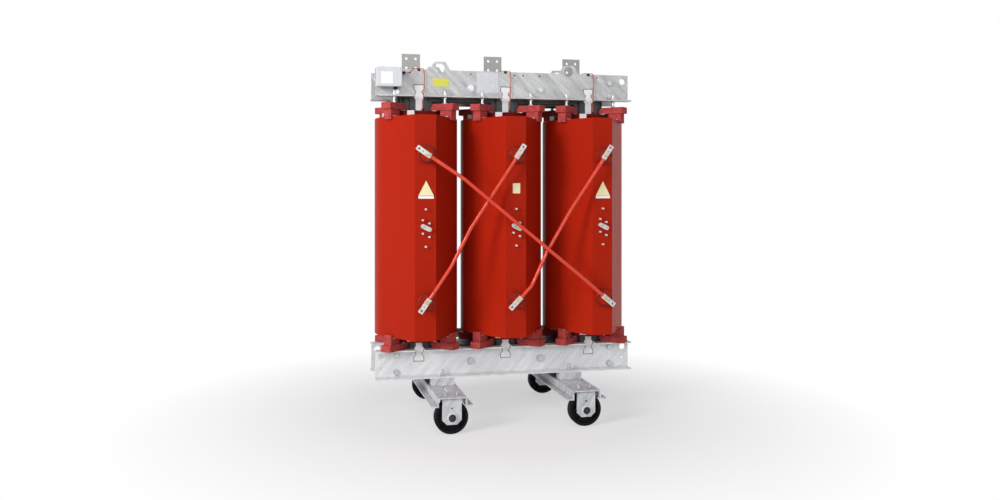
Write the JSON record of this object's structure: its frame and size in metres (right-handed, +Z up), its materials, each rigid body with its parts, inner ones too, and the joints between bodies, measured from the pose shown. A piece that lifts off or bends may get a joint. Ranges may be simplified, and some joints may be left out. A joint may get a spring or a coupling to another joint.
{
  "type": "dry type transformer",
  "caption": "Free-standing cast resin power transformer with clamped core, winding columns, delta bars, terminal plates and a wheeled base.",
  "frame": {"origin": "bottom centre of the overall box, on the floor under the wheels", "axes": "+Z up, front with the high voltage terminals at -Y, the three columns in a row along X"},
  "size_m": [1.64, 1.01, 2.315],
  "materials": {
    "core_steel": "matt laminated edges",
    "zinc_steel": "galvanised, faint diagonal streaks",
    "plated_bolts": "zinc plated",
    "cast_resin_outer": "satin cast resin",
    "cast_resin_inner": "satin cast resin",
    "block_resin": "rough cast",
    "pad_rubber": "smooth",
    "white_spacer": "smooth",
    "wheel_black": "black painted",
    "bar_sleeve": "glossy sleeve",
    "tinned_metal": "tinned",
    "aluminium_bar": "mill finish",
    "box_grey": "smooth painted",
    "black_plastic": "moulded",
    "lead_sleeve": "twisted leads"
  },
  "bodies": {
    "root": {"axle_bolts": "plated_bolts", "bracket_bolts": "plated_bolts", "carrier_spacers": "zinc_steel", "carrier_studs": "plated_bolts", "core_limb_centre": "core_steel", "core_limb_left": "core_steel", "core_limb_right": "core_steel", "core_yoke_lower": "core_steel", "core_yoke_upper": "core_steel", "delta_bar_a": "bar_sleeve", "delta_bar_b": "bar_sleeve", "delta_bar_c": "bar_sleeve", "delta_lugs": "tinned_metal", "hv_coil_centre": "cast_resin_outer", "hv_coil_left": "cast_resin_outer", "hv_coil_right": "cast_resin_outer", "hv_terminals": "tinned_metal", "lead_clips": "black_plastic", "lower_blocks": "block_resin", "lower_clamp_front": "zinc_steel", "lower_clamp_rear": "zinc_steel", "lower_frame_bolts": "plated_bolts", "lower_pads": "pad_rubber", "lv_coil_centre": "cast_resin_inner", "lv_coil_left": "cast_resin_inner", "lv_coil_right": "cast_resin_inner", "lv_support_posts": "block_resin", "lv_terminal_centre": "aluminium_bar", "lv_terminal_left": "aluminium_bar", "lv_terminal_right": "aluminium_bar", "sensor_box": "box_grey", "sensor_box_lid": "box_grey", "sensor_glands": "black_plastic", "sensor_lead_centre": "lead_sleeve", "sensor_lead_left": "lead_sleeve", "sensor_lead_right": "lead_sleeve", "sensor_plugs": "black_plastic", "set_bolts": "plated_bolts", "star_bar": "aluminium_bar", "star_tabs": "aluminium_bar", "tap_links": "tinned_metal", "tap_studs": "tinned_metal", "tie_plates": "zinc_steel", "upper_blocks": "block_resin", "upper_clamp_front": "zinc_steel", "upper_clamp_rear": "zinc_steel", "upper_frame_bolts": "plated_bolts", "upper_pads": "pad_rubber", "wheel_bracket_front_left": "zinc_steel", "wheel_bracket_front_right": "zinc_steel", "wheel_bracket_rear_left": "zinc_steel", "wheel_bracket_rear_right": "zinc_steel", "wheel_carrier_left": "zinc_steel", "wheel_carrier_right": "zinc_steel", "winding_spacers": "white_spacer"},
    "wheel_front_left": {"wheel_front_left": "wheel_black"},
    "wheel_front_right": {"wheel_front_right": "wheel_black"},
    "wheel_rear_left": {"wheel_rear_left": "wheel_black"},
    "wheel_rear_right": {"wheel_rear_right": "wheel_black"}
  },
  "joints": [
    {"name": "wheel_front_left_roll", "type": "hinge", "parent": "root", "child": "wheel_front_left", "pos_m": [-0.41, -0.45, 0.1], "axis": [0, 1, 0], "continuous": true},
    {"name": "wheel_front_right_roll", "type": "hinge", "parent": "root", "child": "wheel_front_right", "pos_m": [0.41, -0.45, 0.1], "axis": [0, 1, 0], "continuous": true},
    {"name": "wheel_rear_left_roll", "type": "hinge", "parent": "root", "child": "wheel_rear_left", "pos_m": [-0.41, 0.45, 0.1], "axis": [0, 1, 0], "continuous": true},
    {"name": "wheel_rear_right_roll", "type": "hinge", "parent": "root", "child": "wheel_rear_right", "pos_m": [0.41, 0.45, 0.1], "axis": [0, 1, 0], "continuous": true}
  ]
}
